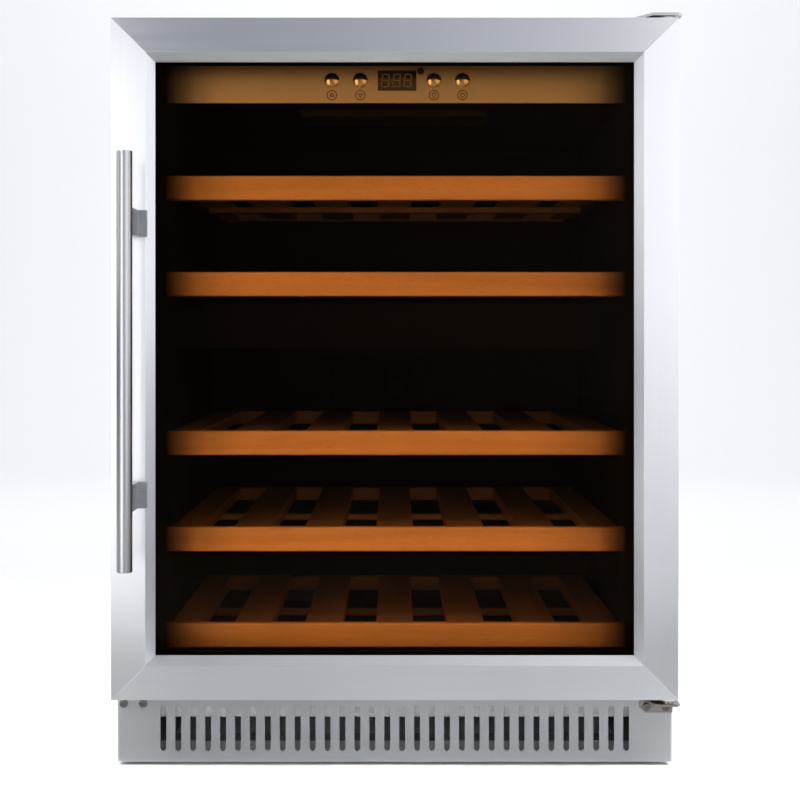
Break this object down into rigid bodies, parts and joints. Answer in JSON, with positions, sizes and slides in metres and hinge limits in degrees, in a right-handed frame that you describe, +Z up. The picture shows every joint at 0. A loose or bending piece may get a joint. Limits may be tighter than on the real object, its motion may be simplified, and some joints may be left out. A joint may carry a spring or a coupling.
{
  "type": "wine cooler",
  "caption": "Undercounter wine cooler with a hinged glazed steel door, two cooled zones, sliding beech shelves and a vented kick plate.",
  "frame": {"origin": "on the floor under the middle of the whole cooler, handle included", "axes": "+Z up, the door faces -Y, +X to the right of someone facing the door"},
  "size_m": [0.6005, 0.626, 0.8027],
  "materials": {
    "cabinet_shell": "satin",
    "back_panel": "satin",
    "machine_cover": "satin",
    "underbody_panel": "satin",
    "insulation": "matte",
    "inner_liner": "satin",
    "zone_divider": "satin",
    "shelf_runners": "satin",
    "upper_lamp_cover": "satin",
    "lower_lamp_cover": "satin",
    "upper_evaporator_cover": "satin",
    "lower_evaporator_cover": "satin",
    "upper_fan": "satin",
    "lower_fan": "satin",
    "evaporators": "satin",
    "control_panel": "satin",
    "display_window": "gloss",
    "control_board": "satin",
    "temperature_up_button": "polished",
    "temperature_down_button": "polished",
    "light_button": "polished",
    "power_button": "polished",
    "kick_plate": "satin",
    "base_frame": "satin",
    "front_foot_left": "matte",
    "front_foot_right": "matte",
    "rear_foot_left": "matte",
    "rear_foot_right": "matte",
    "bottom_hinge_bracket": "satin",
    "top_hinge_bracket": "satin",
    "bracket_screws": "satin",
    "door_stile_left": "satin",
    "door_stile_right": "satin",
    "door_rail_top": "satin",
    "door_rail_bottom": "satin",
    "door_core": "satin",
    "outer_glass": "gloss",
    "inner_glass": "gloss",
    "glass_spacer": "matte",
    "door_gasket": "matte",
    "handle_bar": "satin",
    "handle_posts": "satin",
    "hinge_bushes": "satin",
    "compressor": "gloss",
    "compressor_mounts": "matte",
    "condenser": "satin",
    "condenser_shroud": "satin",
    "condenser_fan": "satin",
    "drip_tray": "satin",
    "mains_inlet": "satin",
    "shelf_1_front": "satin",
    "shelf_1_deck": "satin",
    "shelf_2_front": "satin",
    "shelf_2_deck": "satin",
    "shelf_3_front": "satin",
    "shelf_3_deck": "satin",
    "shelf_4_front": "satin",
    "shelf_4_deck": "satin",
    "shelf_5_front": "satin",
    "shelf_5_deck": "satin"
  },
  "bodies": {
    "cabinet": {"cabinet_shell": "cabinet_shell", "back_panel": "back_panel", "machine_cover": "machine_cover", "underbody_panel": "underbody_panel", "insulation": "insulation", "inner_liner": "inner_liner", "zone_divider": "zone_divider", "shelf_runners": "shelf_runners", "upper_lamp_cover": "upper_lamp_cover", "lower_lamp_cover": "lower_lamp_cover", "upper_evaporator_cover": "upper_evaporator_cover", "lower_evaporator_cover": "lower_evaporator_cover", "evaporators": "evaporators", "control_panel": "control_panel", "display_window": "display_window", "control_board": "control_board", "kick_plate": "kick_plate", "base_frame": "base_frame", "bottom_hinge_bracket": "bottom_hinge_bracket", "top_hinge_bracket": "top_hinge_bracket", "bracket_screws": "bracket_screws", "compressor": "compressor", "compressor_mounts": "compressor_mounts", "condenser": "condenser", "condenser_shroud": "condenser_shroud", "drip_tray": "drip_tray", "mains_inlet": "mains_inlet"},
    "door": {"door_stile_left": "door_stile_left", "door_stile_right": "door_stile_right", "door_rail_top": "door_rail_top", "door_rail_bottom": "door_rail_bottom", "door_core": "door_core", "outer_glass": "outer_glass", "inner_glass": "inner_glass", "glass_spacer": "glass_spacer", "door_gasket": "door_gasket", "handle_bar": "handle_bar", "handle_posts": "handle_posts", "hinge_bushes": "hinge_bushes"},
    "shelf_1": {"shelf_1_front": "shelf_1_front", "shelf_1_deck": "shelf_1_deck"},
    "shelf_2": {"shelf_2_front": "shelf_2_front", "shelf_2_deck": "shelf_2_deck"},
    "shelf_3": {"shelf_3_front": "shelf_3_front", "shelf_3_deck": "shelf_3_deck"},
    "shelf_4": {"shelf_4_front": "shelf_4_front", "shelf_4_deck": "shelf_4_deck"},
    "shelf_5": {"shelf_5_front": "shelf_5_front", "shelf_5_deck": "shelf_5_deck"},
    "temperature_up_button_body": {"temperature_up_button": "temperature_up_button"},
    "temperature_down_button_body": {"temperature_down_button": "temperature_down_button"},
    "light_button_body": {"light_button": "light_button"},
    "power_button_body": {"power_button": "power_button"},
    "upper_fan_body": {"upper_fan": "upper_fan"},
    "lower_fan_body": {"lower_fan": "lower_fan"},
    "condenser_fan_body": {"condenser_fan": "condenser_fan"},
    "front_foot_left_body": {"front_foot_left": "front_foot_left"},
    "front_foot_right_body": {"front_foot_right": "front_foot_right"},
    "rear_foot_left_body": {"rear_foot_left": "rear_foot_left"},
    "rear_foot_right_body": {"rear_foot_right": "rear_foot_right"}
  },
  "joints": [
    {"name": "door_hinge", "type": "hinge", "parent": "cabinet", "child": "door", "pos_m": [0.289, -0.242, 0.43], "axis": [0, 0, 1], "range_deg": [0, 110]},
    {"name": "shelf_1_slide", "type": "slide", "parent": "cabinet", "child": "shelf_1", "axis": [0, -1, 0], "range_m": [0, 0.022]},
    {"name": "shelf_2_slide", "type": "slide", "parent": "cabinet", "child": "shelf_2", "axis": [0, -1, 0], "range_m": [0, 0.022]},
    {"name": "shelf_3_slide", "type": "slide", "parent": "cabinet", "child": "shelf_3", "axis": [0, -1, 0], "range_m": [0, 0.022]},
    {"name": "shelf_4_slide", "type": "slide", "parent": "cabinet", "child": "shelf_4", "axis": [0, -1, 0], "range_m": [0, 0.022]},
    {"name": "shelf_5_slide", "type": "slide", "parent": "cabinet", "child": "shelf_5", "axis": [0, -1, 0], "range_m": [0, 0.022]},
    {"name": "temperature_up_press", "type": "slide", "parent": "cabinet", "child": "temperature_up_button_body", "axis": [0, 1, 0], "range_m": [0, 0.0012], "stiffness_N_per_m": 500},
    {"name": "temperature_down_press", "type": "slide", "parent": "cabinet", "child": "temperature_down_button_body", "axis": [0, 1, 0], "range_m": [0, 0.0012], "stiffness_N_per_m": 500},
    {"name": "light_press", "type": "slide", "parent": "cabinet", "child": "light_button_body", "axis": [0, 1, 0], "range_m": [0, 0.0012], "stiffness_N_per_m": 500},
    {"name": "power_press", "type": "slide", "parent": "cabinet", "child": "power_button_body", "axis": [0, 1, 0], "range_m": [0, 0.0012], "stiffness_N_per_m": 500},
    {"name": "upper_fan_spin", "type": "hinge", "parent": "cabinet", "child": "upper_fan_body", "pos_m": [0, 0.238, 0.652], "axis": [0, 1, 0], "continuous": true},
    {"name": "lower_fan_spin", "type": "hinge", "parent": "cabinet", "child": "lower_fan_body", "pos_m": [0, 0.238, 0.386], "axis": [0, 1, 0], "continuous": true},
    {"name": "condenser_fan_spin", "type": "hinge", "parent": "cabinet", "child": "condenser_fan_body", "pos_m": [-0.003, 0.242, 0.095], "axis": [1, 0, 0], "continuous": true},
    {"name": "front_foot_left_turn", "type": "hinge", "parent": "cabinet", "child": "front_foot_left_body", "pos_m": [-0.272, -0.165, 0.02], "axis": [0, 0, 1], "continuous": true},
    {"name": "front_foot_right_turn", "type": "hinge", "parent": "cabinet", "child": "front_foot_right_body", "pos_m": [0.272, -0.165, 0.02], "axis": [0, 0, 1], "continuous": true},
    {"name": "rear_foot_left_turn", "type": "hinge", "parent": "cabinet", "child": "rear_foot_left_body", "pos_m": [-0.272, 0.288, 0.02], "axis": [0, 0, 1], "continuous": true},
    {"name": "rear_foot_right_turn", "type": "hinge", "parent": "cabinet", "child": "rear_foot_right_body", "pos_m": [0.272, 0.288, 0.02], "axis": [0, 0, 1], "continuous": true}
  ]
}
